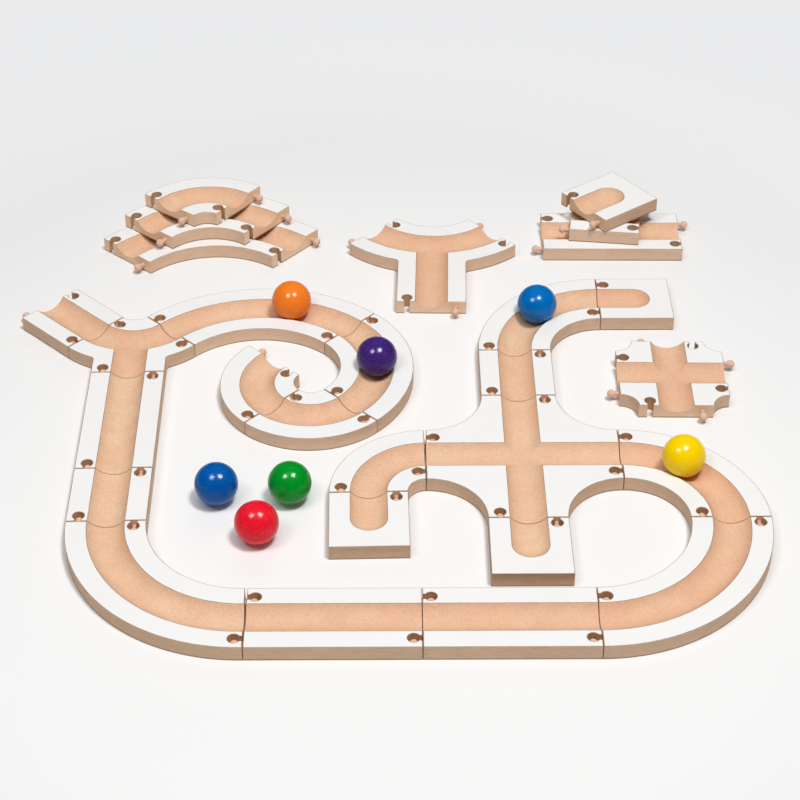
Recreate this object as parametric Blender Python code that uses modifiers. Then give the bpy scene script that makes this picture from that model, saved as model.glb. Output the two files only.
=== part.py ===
"""A flat wooden ball track: boards with a round groove, joined end to end by ball-headed pegs.

Metres, +Z up, +X to the right and +Y away from the front. The large cross stands on the origin.
"""
from dataclasses import dataclass
from math import acos, asin, atan2, cos, degrees, radians, sin, sqrt, tan

import bmesh
import bpy
from mathutils import Matrix, Vector

# Boards
BOARD_WIDTH = 0.090
BOARD_THICKNESS = 0.0185
END_CLEARANCE = 0.0004
STACK_GAP = 0.0003

# Lengths and centre line radii, measured from joint to joint
SHORT_LENGTH = 0.0935
LONG_LENGTH = 2 * SHORT_LENGTH
TIGHT_RADIUS = 0.0665
MIDDLE_RADIUS = TIGHT_RADIUS + SHORT_LENGTH / 2
WIDE_RADIUS = TIGHT_RADIUS + SHORT_LENGTH
SMALL_LEG = TIGHT_RADIUS
LARGE_LEG = 0.1365
FORK_FILLET = 0.006
ARM_ANGLE = 45.0

# Balls and the groove they run in
BALL_RADIUS = 0.025
BALL_REST_GAP = 0.0003
GROOVE_PLAY = 0.0015
GROOVE_DEPTH = 0.0101
GROOVE_RADIUS = BALL_RADIUS + GROOVE_PLAY
GROOVE_AXIS_Z = BOARD_THICKNESS - GROOVE_DEPTH + GROOVE_RADIUS
GROOVE_HALF_WIDTH = sqrt(GROOVE_RADIUS ** 2 - (GROOVE_RADIUS - GROOVE_DEPTH) ** 2)
DEAD_END_WALL = 0.027
GROOVE_OVERRUN = 0.002
SECOND_GROOVE_RISE = 0.0001

# Pegs and keyholes
PEG_HEAD_RADIUS = 0.0052
PEG_NECK_RADIUS = 0.0029
PEG_REACH = 0.0095
PEG_ROOT = 0.014
GLUE_GAP = 0.0003
HEAD_PLAY = 0.0015
NECK_PLAY = 0.0007
HOLE_RADIUS = PEG_HEAD_RADIUS + HEAD_PLAY
NECK_HALF_WIDTH = PEG_NECK_RADIUS + NECK_PLAY
CUT_MARGIN = 0.001
PEG_LINE_SHIFT = 0.0015
PEG_LINE = (BOARD_WIDTH / 2 + GROOVE_HALF_WIDTH) / 2 - PEG_LINE_SHIFT

# Slack of two joints that stand slightly askew
JOINT_PLAY = 1.2
JOINT_EASE = BOARD_WIDTH / 2 * tan(radians(JOINT_PLAY))

# Fineness of the round forms
QUARTER_STEPS = 10
TUBE_STEPS = 24
POOL_RINGS = 6
HOLE_STEPS = 10
PEG_STEPS = 8
HEAD_RINGS = 4
BALL_SEGMENTS = 16
BALL_RINGS = 10

# Colours and roughness
BOARD_FINISH = ((0.86, 0.76, 0.66), 0.45)
PEG_FINISH = ((0.82, 0.58, 0.42), 0.5)
BALL_ROUGHNESS = 0.12


def remove_everything():
    """Empty the scene."""
    for item in list(bpy.data.objects):
        bpy.data.objects.remove(item, do_unlink=True)


def new_collection(name):
    """A collection linked to the scene."""
    group = bpy.data.collections.new(name)
    bpy.context.scene.collection.children.link(group)
    return group


def direction(heading):
    """Unit vector in plan for a heading in degrees."""
    return Vector((cos(radians(heading)), sin(radians(heading))))


def arc(centre, radius, start, stop, steps=QUARTER_STEPS):
    """Points on an arc between two angles in degrees, both ends included."""
    points = []
    for index in range(steps + 1):
        angle = start + (stop - start) * index / steps
        points.append(Vector(centre) + radius * direction(angle))
    return points


def end_trim(radius):
    """Angle that an end face standing back by the clearance takes off an arc."""
    return degrees(asin(END_CLEARANCE / radius))


@dataclass
class Plan:
    """A board in plan: it starts at its own origin and runs along +X."""

    outline: list
    grooves: list
    ends: list
    pool: float = 0.0


def straight_plan(length):
    """A straight board with a joint at both ends."""
    half = BOARD_WIDTH / 2
    near, far = END_CLEARANCE, length - END_CLEARANCE
    outline = [Vector((near, -half)), Vector((far, -half)), Vector((far, half)), Vector((near, half))]
    groove = [Vector((-GROOVE_OVERRUN, 0)), Vector((length + GROOVE_OVERRUN, 0))]
    return Plan(outline, [groove], [(Vector((0, 0)), 180.0), (Vector((length, 0)), 0.0)])


def dead_end_plan():
    """A straight board with one joint, and a groove that stops in a round end."""
    half = BOARD_WIDTH / 2
    near, far = END_CLEARANCE, SHORT_LENGTH
    outline = [Vector((near, -half)), Vector((far, -half)), Vector((far, half)), Vector((near, half))]
    pool = SHORT_LENGTH - DEAD_END_WALL - GROOVE_HALF_WIDTH
    return Plan(outline, [], [(Vector((0, 0)), 180.0)], pool)


def curve_plan(radius, turn):
    """A quarter bend; turn is 1 to the left and -1 to the right."""
    centre = Vector((0, turn * radius))
    outer, inner = radius + BOARD_WIDTH / 2, radius - BOARD_WIDTH / 2
    start = -90 * turn
    outline = arc(centre, outer, start + turn * end_trim(outer), -turn * end_trim(outer))
    outline += arc(centre, inner, -turn * end_trim(inner), start + turn * end_trim(inner))
    overrun = degrees(GROOVE_OVERRUN / radius)
    groove = arc(centre, radius, start - turn * overrun, turn * overrun)
    exit_point = Vector((radius, turn * radius))
    return Plan(outline, [groove], [(Vector((0, 0)), 180.0), (exit_point, 90.0 * turn)])


def cross_plan(half_length):
    """Four arms around a crossing, with hollow quarter-round corners."""
    centre = Vector((half_length, 0))
    radius = half_length - BOARD_WIDTH / 2
    trim = end_trim(radius)
    outline, grooves, ends = [], [], []
    for heading in (0.0, 90.0, 180.0, 270.0):
        corner = centre + half_length * (direction(heading) + direction(heading + 90))
        outline += arc(corner, radius, heading - 90 - trim, heading - 180 + trim)
        ends.append((centre + half_length * direction(heading), heading))
    for heading in (0.0, 90.0):
        reach = (half_length + GROOVE_OVERRUN) * direction(heading)
        grooves.append([centre - reach, centre + reach])
    return Plan(outline, grooves, [ends[2], ends[0], ends[1], ends[3]])


def fork_plan(leg, radius):
    """A straight leg that splits into a left and a right arm on one quarter bend."""
    centre = Vector((leg + radius, 0))
    half = BOARD_WIDTH / 2
    outer, inner = radius + half, radius - half
    fillet_y = half + FORK_FILLET
    fillet_x = centre.x - sqrt((outer + FORK_FILLET) ** 2 - fillet_y ** 2)
    meet = degrees(atan2(fillet_y, fillet_x - centre.x))
    arm = 180 - ARM_ANGLE
    side = [Vector((END_CLEARANCE, half))]
    side += arc((fillet_x, fillet_y), FORK_FILLET, -90, meet - 180, QUARTER_STEPS // 2)
    side += arc(centre, outer, meet, arm + end_trim(outer), QUARTER_STEPS // 2)[1:]
    side += arc(centre, inner, arm + end_trim(inner), 180, QUARTER_STEPS // 2)
    mirrored = [Vector((point.x, -point.y)) for point in reversed(side[:-1])]
    overrun = degrees(GROOVE_OVERRUN / radius)
    across = arc(centre, radius, arm - overrun, 360 - arm + overrun)
    leg_groove = [Vector((-GROOVE_OVERRUN, 0)), Vector((leg, 0))]
    left_end = (centre + radius * direction(arm), ARM_ANGLE)
    right_end = (centre + radius * direction(-arm), -ARM_ANGLE)
    return Plan(side + mirrored, [across, leg_groove], [(Vector((0, 0)), 180.0), left_end, right_end])


def curve_to_mesh(curve_object, group):
    """Turn a curve object into a welded mesh object of the same name and place."""
    graph = bpy.context.evaluated_depsgraph_get()
    mesh = bpy.data.meshes.new_from_object(curve_object.evaluated_get(graph))
    work = bmesh.new()
    work.from_mesh(mesh)
    bmesh.ops.remove_doubles(work, verts=work.verts, dist=1e-6)
    bmesh.ops.recalc_face_normals(work, faces=work.faces)
    work.to_mesh(mesh)
    work.free()
    name = curve_object.name
    place = curve_object.matrix_world.copy()
    bpy.data.objects.remove(curve_object, do_unlink=True)
    result = bpy.data.objects.new(name, mesh)
    result.matrix_world = place
    group.objects.link(result)
    return result


def extruded(name, outline, low, high, group):
    """A flat outline drawn up between two heights."""
    data = bpy.data.curves.new(name, "CURVE")
    data.dimensions = "2D"
    data.fill_mode = "BOTH"
    data.extrude = (high - low) / 2
    spline = data.splines.new("POLY")
    spline.points.add(len(outline) - 1)
    for target, point in zip(spline.points, outline):
        target.co = (point.x, point.y, 0, 1)
    spline.use_cyclic_u = True
    item = bpy.data.objects.new(name, data)
    item.location.z = (low + high) / 2
    group.objects.link(item)
    bpy.context.view_layer.update()
    return curve_to_mesh(item, group)


def tube(name, path, rise, group):
    """A round bar of the groove's radius along a path in plan."""
    data = bpy.data.curves.new(name, "CURVE")
    data.dimensions = "3D"
    data.bevel_depth = GROOVE_RADIUS
    data.bevel_resolution = TUBE_STEPS // 2 - 2
    data.use_fill_caps = True
    spline = data.splines.new("POLY")
    spline.points.add(len(path) - 1)
    for target, point in zip(spline.points, path):
        target.co = (point.x, point.y, GROOVE_AXIS_Z + rise, 1)
    item = bpy.data.objects.new(name, data)
    group.objects.link(item)
    bpy.context.view_layer.update()
    return curve_to_mesh(item, group)


def sphere(name, radius, segments, rings, group):
    """A ball about its own origin."""
    mesh = bpy.data.meshes.new(name)
    work = bmesh.new()
    bmesh.ops.create_uvsphere(work, u_segments=segments, v_segments=rings, radius=radius)
    work.to_mesh(mesh)
    work.free()
    item = bpy.data.objects.new(name, mesh)
    group.objects.link(item)
    return item


def shade_smooth(item):
    """Smooth shading on every face."""
    for face in item.data.polygons:
        face.use_smooth = True


def hide_cutter(item):
    """Keep a cutting shape out of the picture."""
    item.hide_render = True
    item.display_type = "WIRE"


def turned(name, profile, steps, group):
    """A shape turned about +Z from a profile of (radius, height) points, top to bottom."""
    mesh = bpy.data.meshes.new(name)
    work = bmesh.new()
    corners = [work.verts.new((radius, 0, height)) for radius, height in profile]
    for one, two in zip(corners, corners[1:]):
        work.edges.new((one, two))
    work.to_mesh(mesh)
    work.free()
    item = bpy.data.objects.new(name, mesh)
    group.objects.link(item)
    screw = item.modifiers.new("turned", "SCREW")
    screw.steps = steps
    screw.render_steps = steps
    screw.use_merge_vertices = True
    screw.merge_threshold = 1e-5
    screw.use_smooth_shade = False
    return item


def dome(radius, height, lowest, rings):
    """Profile points of a round top, from its crown down to an angle in degrees."""
    points = [(0, height + radius)]
    for index in range(1, rings + 1):
        angle = radians(90 + (lowest - 90) * index / rings)
        points.append((radius * cos(angle), height + radius * sin(angle)))
    return points


def peg_shape(name, group, gap):
    """A peg along +Z: a round head beyond the joint, and a shank that ends inside the board."""
    neck = PEG_NECK_RADIUS - gap
    lowest = -degrees(acos(neck / PEG_HEAD_RADIUS))
    profile = dome(PEG_HEAD_RADIUS, PEG_REACH, lowest, HEAD_RINGS)
    profile += [(neck, -PEG_ROOT), (0, -PEG_ROOT)]
    return turned(name, profile, PEG_STEPS, group)


def pool_shape(name, length, group):
    """The bar that cuts a groove with a round end, along +Z up to the middle of that end."""
    profile = dome(GROOVE_RADIUS, length, 0, POOL_RINGS)
    profile += [(GROOVE_RADIUS, -GROOVE_OVERRUN), (0, -GROOVE_OVERRUN)]
    return turned(name, profile, TUBE_STEPS, group)


def keyhole_outline(end, heading):
    """A round hole to the right of an end, seen facing outwards, with a neck open at the end face."""
    out, right = direction(heading), direction(heading - 90)
    middle = end + PEG_LINE * right - PEG_REACH * out
    open_angle = degrees(asin(NECK_HALF_WIDTH / HOLE_RADIUS))
    round_part = arc(middle, HOLE_RADIUS, heading + open_angle, heading + 360 - open_angle, HOLE_STEPS)
    mouth = end + PEG_LINE * right + CUT_MARGIN * out
    return round_part + [mouth + NECK_HALF_WIDTH * right, mouth - NECK_HALF_WIDTH * right]


def cut(board, tool, operation):
    """Take a tool out of a board, or add it."""
    step = board.modifiers.new(tool.name, "BOOLEAN")
    step.operation = operation
    step.solver = "EXACT"
    step.object = tool
    hide_cutter(tool)


def peg_place(end, heading):
    """Place of a peg to the left of an end: its +Z turned along the heading, at half the thickness."""
    left = direction(heading + 90)
    point = end + PEG_LINE * left
    turn = Matrix.Rotation(radians(heading), 4, "Z") @ Matrix.Rotation(radians(90), 4, "Y")
    return Matrix.Translation((point.x, point.y, BOARD_THICKNESS / 2)) @ turn


def finish(name, colour, roughness):
    """A plain material."""
    material = bpy.data.materials.new(name)
    material.use_nodes = True
    shader = material.node_tree.nodes["Principled BSDF"]
    shader.inputs["Base Color"].default_value = (*colour, 1)
    shader.inputs["Roughness"].default_value = roughness
    shader.inputs["Metallic"].default_value = 0.0
    return material


class Builder:
    """Makes boards, pegs and balls, and remembers where each board's ends are."""

    def __init__(self):
        self.parts = new_collection("wooden ball track")
        self.cutters = new_collection("cutting shapes")

    def board(self, name, plan, place, loose_pegs=()):
        """One board with its pegs.

        loose_pegs names the ends, by index, whose peg stands free and is a piece of its own.
        """
        board = extruded(name, plan.outline, 0, BOARD_THICKNESS, self.parts)
        tools = []
        for index, path in enumerate(plan.grooves):
            rise = index * SECOND_GROOVE_RISE
            tools.append((tube(f"{name}_groove_{index}", path, rise, self.cutters), "DIFFERENCE"))
        if plan.pool:
            bar = pool_shape(f"{name}_groove", plan.pool, self.cutters)
            bar.matrix_world = Matrix.Translation((0, 0, GROOVE_AXIS_Z)) @ Matrix.Rotation(radians(90), 4, "Y")
            tools.append((bar, "DIFFERENCE"))
        for index, (end, heading) in enumerate(plan.ends):
            outline = keyhole_outline(end, heading)
            low, high = -CUT_MARGIN, BOARD_THICKNESS + CUT_MARGIN
            tools.append((extruded(f"{name}_keyhole_{index}", outline, low, high, self.cutters), "DIFFERENCE"))
            if index in loose_pegs:
                bore = self.bore(f"{name}_bore_{index}")
                bore.matrix_world = peg_place(end, heading)
                tools.append((bore, "DIFFERENCE"))
            else:
                peg = peg_shape(f"{name}_fixed_peg_{index}", self.cutters, 0)
                peg.matrix_world = peg_place(end, heading)
                tools.append((peg, "UNION"))
        board.matrix_world = place @ board.matrix_world
        for tool, operation in tools:
            tool.matrix_world = place @ tool.matrix_world
            cut(board, tool, operation)
        board.data.materials.append(finish(name, *BOARD_FINISH))
        for index in loose_pegs:
            end, heading = plan.ends[index]
            peg = peg_shape(f"{name}_peg_{index + 1}", self.parts, GLUE_GAP)
            peg.matrix_world = place @ peg_place(end, heading)
            peg.data.materials.append(finish(peg.name, *PEG_FINISH))
        return board

    def bore(self, name):
        """The drilled hole that a peg is glued into."""
        mesh = bpy.data.meshes.new(name)
        work = bmesh.new()
        depth = PEG_ROOT + GLUE_GAP
        bmesh.ops.create_cone(work, cap_ends=True, segments=PEG_STEPS, radius1=PEG_NECK_RADIUS,
                              radius2=PEG_NECK_RADIUS, depth=depth + CUT_MARGIN)
        bmesh.ops.translate(work, verts=work.verts, vec=(0, 0, (CUT_MARGIN - depth) / 2))
        work.to_mesh(mesh)
        work.free()
        item = bpy.data.objects.new(name, mesh)
        self.cutters.objects.link(item)
        return item

    def ball(self, name, centre, colour, pivot=None):
        """A lacquered ball; pivot is the middle of the bend that it rolls along."""
        item = sphere(name, BALL_RADIUS, BALL_SEGMENTS, BALL_RINGS, self.parts)
        shade_smooth(item)
        item.data.materials.append(finish(name, colour, BALL_ROUGHNESS))
        if pivot is None:
            item.location = centre
            return item
        turning = bpy.data.objects.new(f"bend_centre_{name}", None)
        turning.location = pivot
        self.parts.objects.link(turning)
        item.parent = turning
        item.location = Vector(centre) - Vector(pivot)
        return item


def flat_place(point, heading, level=0):
    """Place of a board that starts at a point with a heading, some boards up a stack."""
    height = level * (BOARD_THICKNESS + STACK_GAP)
    turn = Matrix.Rotation(radians(heading), 4, "Z")
    return Matrix.Translation((point[0], point[1], height)) @ turn


def ends_of(plan, place):
    """World points and headings of a placed plan's ends."""
    heading = degrees(atan2(place[1][0], place[0][0]))
    found = []
    for end, own in plan.ends:
        point = place @ Vector((end.x, end.y, 0))
        found.append((point.to_2d(), own + heading))
    return found


def askew(joint):
    """The same joint turned by the play, and moved out so that the end faces stay apart."""
    point, heading = joint
    return point + JOINT_EASE * direction(heading), heading + JOINT_PLAY


def build_layout(builder):
    """The boards that are joined, walking out from the cross; gives the bends that carry a ball."""
    cross = cross_plan(MIDDLE_RADIUS)
    cross_place = flat_place((-MIDDLE_RADIUS, 0), 0)
    builder.board("large_cross", cross, cross_place)
    left, right, back, front = ends_of(cross, cross_place)

    def add(name, plan, joint, loose_pegs=()):
        place = flat_place(*joint)
        builder.board(name, plan, place, loose_pegs)
        return place, ends_of(plan, place)[1:]

    carriers = {}
    carriers["yellow"], (joint,) = add("middle_bend_right", curve_plan(MIDDLE_RADIUS, -1), right)
    _, (joint,) = add("wide_bend_front_right", curve_plan(WIDE_RADIUS, -1), joint)
    _, (joint,) = add("long_straight_front_right", straight_plan(LONG_LENGTH), joint)
    _, (joint,) = add("long_straight_front_left", straight_plan(LONG_LENGTH), joint)
    _, (joint,) = add("wide_bend_front_left", curve_plan(WIDE_RADIUS, -1), askew(joint))
    _, (joint,) = add("short_straight_left", straight_plan(SHORT_LENGTH), joint)
    _, (joint,) = add("long_straight_left", straight_plan(LONG_LENGTH), joint)
    _, (west, east) = add("small_fork", fork_plan(SMALL_LEG, TIGHT_RADIUS), joint)
    add("short_straight_back_left", straight_plan(SHORT_LENGTH), west, (1,))
    carriers["orange"], (joint,) = add("wide_bend_spiral", curve_plan(WIDE_RADIUS, -1), east)
    carriers["purple"], (joint,) = add("middle_bend_spiral", curve_plan(MIDDLE_RADIUS, -1), joint)
    _, (joint,) = add("tight_bend_spiral_outer", curve_plan(TIGHT_RADIUS, -1), joint)
    add("tight_bend_spiral_inner", curve_plan(TIGHT_RADIUS, -1), joint, (1,))
    _, (joint,) = add("tight_bend_middle", curve_plan(TIGHT_RADIUS, 1), askew(left))
    add("dead_end_middle", dead_end_plan(), joint)
    add("dead_end_front", dead_end_plan(), front)
    _, (joint,) = add("short_straight_middle", straight_plan(SHORT_LENGTH), back)
    carriers["blue"], (joint,) = add("middle_bend_back", curve_plan(MIDDLE_RADIUS, -1), joint)
    add("dead_end_back", dead_end_plan(), joint)
    return carriers


def start_of_bend(centre, radius, tilt):
    """Start of a left-hand bend that arches away from the front, from its centre and its tilt."""
    return Vector(centre) + radius * direction(tilt + ARM_ANGLE), tilt + 90 + ARM_ANGLE


def start_of_straight(centre, length, tilt):
    """Start of a straight board, from its middle and its tilt."""
    return Vector(centre) - length / 2 * direction(tilt), tilt


def build_spares(builder):
    """The boards that lie about, single or in stacks."""
    both = (0, 1)
    bends = (
        ("spare_wide_bend", WIDE_RADIUS, (-0.3874, 0.3337), 4.2),
        ("spare_middle_bend", MIDDLE_RADIUS, (-0.3940, 0.3965), 5.4),
        ("spare_tight_bend", TIGHT_RADIUS, (-0.4013, 0.4521), 7.3),
    )
    for level, (name, radius, centre, tilt) in enumerate(bends):
        start = start_of_bend(centre, radius, tilt)
        builder.board(name, curve_plan(radius, 1), flat_place(*start, level), both)
    fork_tilt = -1.5
    fork_start = Vector((-0.0986, 0.4500)) - LARGE_LEG * direction(fork_tilt + 90)
    fork = fork_plan(LARGE_LEG, MIDDLE_RADIUS)
    builder.board("large_fork", fork, flat_place(fork_start, fork_tilt + 90), (0, 1, 2))
    long_start = start_of_straight((0.1442, 0.4825), LONG_LENGTH, -0.7)
    builder.board("spare_long_straight", straight_plan(LONG_LENGTH), flat_place(*long_start), both)
    short_start = start_of_straight((0.1372, 0.4965), SHORT_LENGTH, -7.1)
    builder.board("spare_short_straight", straight_plan(SHORT_LENGTH), flat_place(*short_start, 1), both)
    dead_start = start_of_straight((0.1426, 0.5126), SHORT_LENGTH, 36.8)
    builder.board("spare_dead_end", dead_end_plan(), flat_place(*dead_start, 2), (0,))
    cross_start = start_of_straight((0.1905, 0.1577), 2 * TIGHT_RADIUS, -1.1)
    builder.board("small_cross", cross_plan(TIGHT_RADIUS), flat_place(*cross_start), (0, 1, 2, 3))


def build_balls(builder, carriers):
    """Four balls standing in bends, and three on the floor."""
    track_height = BOARD_THICKNESS - GROOVE_DEPTH + BALL_REST_GAP + BALL_RADIUS
    standing = (
        ("orange", "orange_ball", WIDE_RADIUS, 77.0, (0.92, 0.20, 0.012)),
        ("purple", "purple_ball", MIDDLE_RADIUS, -0.5, (0.058, 0.018, 0.20)),
        ("blue", "blue_ball_on_track", MIDDLE_RADIUS, 135.9, (0.0, 0.115, 0.43)),
        ("yellow", "yellow_ball", MIDDLE_RADIUS, 52.2, (0.95, 0.60, 0.0)),
    )
    for key, name, radius, angle, colour in standing:
        pivot = carriers[key] @ Vector((0, -radius, track_height))
        centre = pivot + radius * direction(angle).to_3d()
        builder.ball(name, centre, colour, pivot)
    floor = (
        ("blue_ball_on_floor", (-0.3523, -0.0606), (0.0, 0.085, 0.36)),
        ("green_ball", (-0.2689, -0.0592), (0.0, 0.24, 0.022)),
        ("red_ball", (-0.3028, -0.1282), (0.72, 0.008, 0.026)),
    )
    for name, (x, y), colour in floor:
        builder.ball(name, (x, y, BALL_RADIUS), colour)


def main():
    """Build the whole set."""
    remove_everything()
    builder = Builder()
    carriers = build_layout(builder)
    build_spares(builder)
    build_balls(builder, carriers)


main()
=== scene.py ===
"""Looks of a flat wooden ball track: grooved boards with a white face, beech pegs and lacquered balls.

Metres, +Z up, +X to the right and +Y away from the front. The large cross stands on the origin.
"""

import logging
from contextlib import contextmanager
from dataclasses import dataclass
from enum import Enum, IntEnum
from math import acos, asin, atan2, cos, degrees, pi, radians, sin, sqrt, tan
from typing import Any, ClassVar, Iterator, Mapping, Optional, Sequence, Union

import bmesh
import bpy
from mathutils import Matrix, Vector

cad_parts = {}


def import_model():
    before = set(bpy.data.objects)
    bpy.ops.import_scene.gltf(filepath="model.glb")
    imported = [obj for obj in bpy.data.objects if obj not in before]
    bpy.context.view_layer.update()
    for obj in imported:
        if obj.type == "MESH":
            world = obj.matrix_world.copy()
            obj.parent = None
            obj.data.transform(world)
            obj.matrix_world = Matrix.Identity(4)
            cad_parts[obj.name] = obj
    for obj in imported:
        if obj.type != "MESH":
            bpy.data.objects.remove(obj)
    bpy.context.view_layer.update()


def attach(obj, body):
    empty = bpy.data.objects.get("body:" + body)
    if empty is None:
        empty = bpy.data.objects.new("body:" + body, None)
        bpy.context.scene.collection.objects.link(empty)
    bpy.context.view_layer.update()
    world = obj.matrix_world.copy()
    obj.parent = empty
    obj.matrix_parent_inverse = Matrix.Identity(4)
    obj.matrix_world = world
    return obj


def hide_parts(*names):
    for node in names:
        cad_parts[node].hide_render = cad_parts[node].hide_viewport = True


LOG = logging.getLogger("ball_track")
PEG_AIM = "aim"

Point = tuple[float, float, float]
Colour = tuple[float, float, float]
Joint = tuple[Vector, float]
Profile = list[tuple[float, float]]
Options = Optional[Mapping[Any, Any]]


def direction(heading: float) -> Vector:
    """Unit vector in plan for a heading in degrees."""
    return Vector((cos(radians(heading)), sin(radians(heading))))


# Sizes


@dataclass(frozen=True)
class TrackSizes:
    """Sizes that the boards, pegs and balls share, in metres and degrees."""

    board_width: float = 0.090
    board_thickness: float = 0.0185
    board_crease: float = 30.0
    laminate: float = 0.00025
    arris: float = 0.0006
    arris_drop: float = 0.0001
    joint_rim: float = 0.0008
    joint_top_rim: float = 0.0012
    end_clearance: float = 0.0004
    stack_gap: float = 0.0003
    short_length: float = 0.0935
    tight_radius: float = 0.0665
    large_leg: float = 0.1365
    fork_fillet: float = 0.006
    arm_angle: float = 45.0
    ball_radius: float = 0.025
    ball_rest_gap: float = 0.0003
    groove_play: float = 0.0015
    groove_depth: float = 0.0101
    dead_end_wall: float = 0.027
    groove_overrun: float = 0.002
    second_groove_rise: float = 0.0001
    peg_head_radius: float = 0.0052
    peg_neck_radius: float = 0.0029
    peg_reach: float = 0.0095
    peg_root: float = 0.014
    peg_crease: float = 50.0
    head_play: float = 0.0015
    neck_play: float = 0.0007
    cut_margin: float = 0.001
    cut_snap: float = 0.00002
    peg_line_shift: float = 0.0015
    joint_play: float = 1.2

    @property
    def half_width(self) -> float:
        """Half of a board's width."""
        return self.board_width / 2

    @property
    def core_height(self) -> float:
        """Height of the fibre board under the laminate."""
        return self.board_thickness - self.laminate

    @property
    def long_length(self) -> float:
        """Length of a long straight."""
        return 2 * self.short_length

    @property
    def middle_radius(self) -> float:
        """Centre line radius of a middle bend."""
        return self.tight_radius + self.short_length / 2

    @property
    def wide_radius(self) -> float:
        """Centre line radius of a wide bend."""
        return self.tight_radius + self.short_length

    @property
    def groove_radius(self) -> float:
        """Radius of the groove's round bottom."""
        return self.ball_radius + self.groove_play

    @property
    def groove_floor(self) -> float:
        """Height of the groove's lowest line above a board's underside."""
        return self.board_thickness - self.groove_depth

    @property
    def groove_axis(self) -> float:
        """Height of the groove's axis above a board's underside."""
        return self.groove_floor + self.groove_radius

    @property
    def groove_half_width(self) -> float:
        """Half of the groove's width at the top face."""
        rise = self.groove_radius - self.groove_depth
        return sqrt(self.groove_radius ** 2 - rise ** 2)

    @property
    def hole_radius(self) -> float:
        """Radius of a keyhole's round part."""
        return self.peg_head_radius + self.head_play

    @property
    def neck_half_width(self) -> float:
        """Half width of a keyhole's neck."""
        return self.peg_neck_radius + self.neck_play

    @property
    def peg_line(self) -> float:
        """Distance of pegs and keyholes from the centre line."""
        return (self.half_width + self.groove_half_width) / 2 - self.peg_line_shift

    @property
    def joint_ease(self) -> float:
        """Gap that a joint turned by the play needs."""
        return self.half_width * tan(radians(self.joint_play))

    @property
    def level_step(self) -> float:
        """Height from one board of a stack to the next."""
        return self.board_thickness + self.stack_gap

    @property
    def track_height(self) -> float:
        """Height of the middle of a ball that stands in a groove."""
        return self.groove_floor + self.ball_rest_gap + self.ball_radius


@dataclass(frozen=True)
class Fineness:
    """Number of steps of the round forms."""

    quarter: int = 48
    fillet: int = 16
    groove_round: int = 128
    hole: int = 28
    peg: int = 28
    head: int = 12
    pool: int = 32
    ball_segments: int = 96
    ball_rings: int = 64


SIZES = TrackSizes()
FINE = Fineness()


# Node trees


class Tree:
    """A node tree with one way to add a node."""

    def __init__(self, tree: bpy.types.NodeTree) -> None:
        """Take a tree to fill.

        Args:
            tree: The tree.
        """
        self.tree = tree

    def add(self, kind: str, settings: Options = None, inputs: Options = None) -> bpy.types.Node:
        """Add a node.

        Args:
            kind: Type name of the node.
            settings: Properties to set first.
            inputs: Values or links by socket name or number.

        Returns:
            The node.
        """
        node = self.tree.nodes.new(kind)
        for key, value in (settings or {}).items():
            setattr(node, key, value)
        for key, value in (inputs or {}).items():
            source = value.socket if isinstance(value, Value) else value
            if isinstance(source, bpy.types.NodeSocket):
                self.tree.links.new(source, node.inputs[key])
            else:
                node.inputs[key].default_value = source
        return node


class Wires(Tree):
    """One material's node tree, with short ways to write its patterns."""

    FIRST_COLOUR: ClassVar[int] = 6
    SECOND_COLOUR: ClassVar[int] = 7
    BLENDED_COLOUR: ClassVar[int] = 2
    DULL_SHINE: ClassVar[float] = 0.1

    def __init__(self, name: str) -> None:
        """Start an empty material.

        Args:
            name: Name of the material.
        """
        self.material = bpy.data.materials.new(name)
        self.material.use_nodes = True
        super().__init__(self.material.node_tree)
        self.tree.nodes.clear()

    def value(self, node: bpy.types.Node, output: Union[int, str] = 0) -> "Value":
        """A node's output as a number for expressions."""
        return Value(self, node.outputs[output])

    def math(self, operation: str, one: Any, two: Any) -> "Value":
        """A Math node as a number."""
        return self.value(self.add("ShaderNodeMath", {"operation": operation}, {0: one, 1: two}))

    def mix(self, factor: Any, one: Any, two: Any) -> bpy.types.NodeSocket:
        """Blend two colours.

        Args:
            factor: 0 gives the first colour and 1 the second.
            one: First colour, as numbers or a socket.
            two: Second colour, as numbers or a socket.

        Returns:
            The blended colour's socket.
        """
        first, second = [(*item, 1) if isinstance(item, tuple) else item for item in (one, two)]
        inputs = {0: factor, self.FIRST_COLOUR: first, self.SECOND_COLOUR: second}
        return self.add("ShaderNodeMix", {"data_type": "RGBA"}, inputs).outputs[self.BLENDED_COLOUR]

    def place(self, scale: Point = (1, 1, 1), turn: Point = (0, 0, 0)) -> bpy.types.NodeSocket:
        """Object coordinates, turned and scaled.

        Args:
            scale: Factor along each axis.
            turn: Rotation about each axis in radians.

        Returns:
            The coordinates' socket.
        """
        source = self.add("ShaderNodeTexCoord").outputs["Object"]
        inputs = {"Vector": source, "Rotation": turn, "Scale": scale}
        return self.add("ShaderNodeMapping", {}, inputs).outputs[0]

    def finish(self, colour: Any, roughness: Any, bump: Any = None, depth: float = 0.0,
               plain: Options = None) -> bpy.types.Material:
        """End the tree in a Principled shader.

        Args:
            colour: Base colour.
            roughness: Roughness.
            bump: Height for a bump, if any.
            depth: Height of the bump in metres.
            plain: Other sockets and their constant values.

        Returns:
            The material.
        """
        inputs = {"Base Color": colour, "Roughness": roughness, "Specular IOR Level": self.DULL_SHINE}
        inputs.update(plain or {})
        if bump is not None:
            relief = self.add("ShaderNodeBump", {}, {"Strength": 1.0, "Distance": depth, "Height": bump})
            inputs["Normal"] = relief.outputs[0]
        shader = self.add("ShaderNodeBsdfPrincipled", {}, inputs)
        self.add("ShaderNodeOutputMaterial", {}, {"Surface": shader.outputs[0]})
        return self.material


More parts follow.
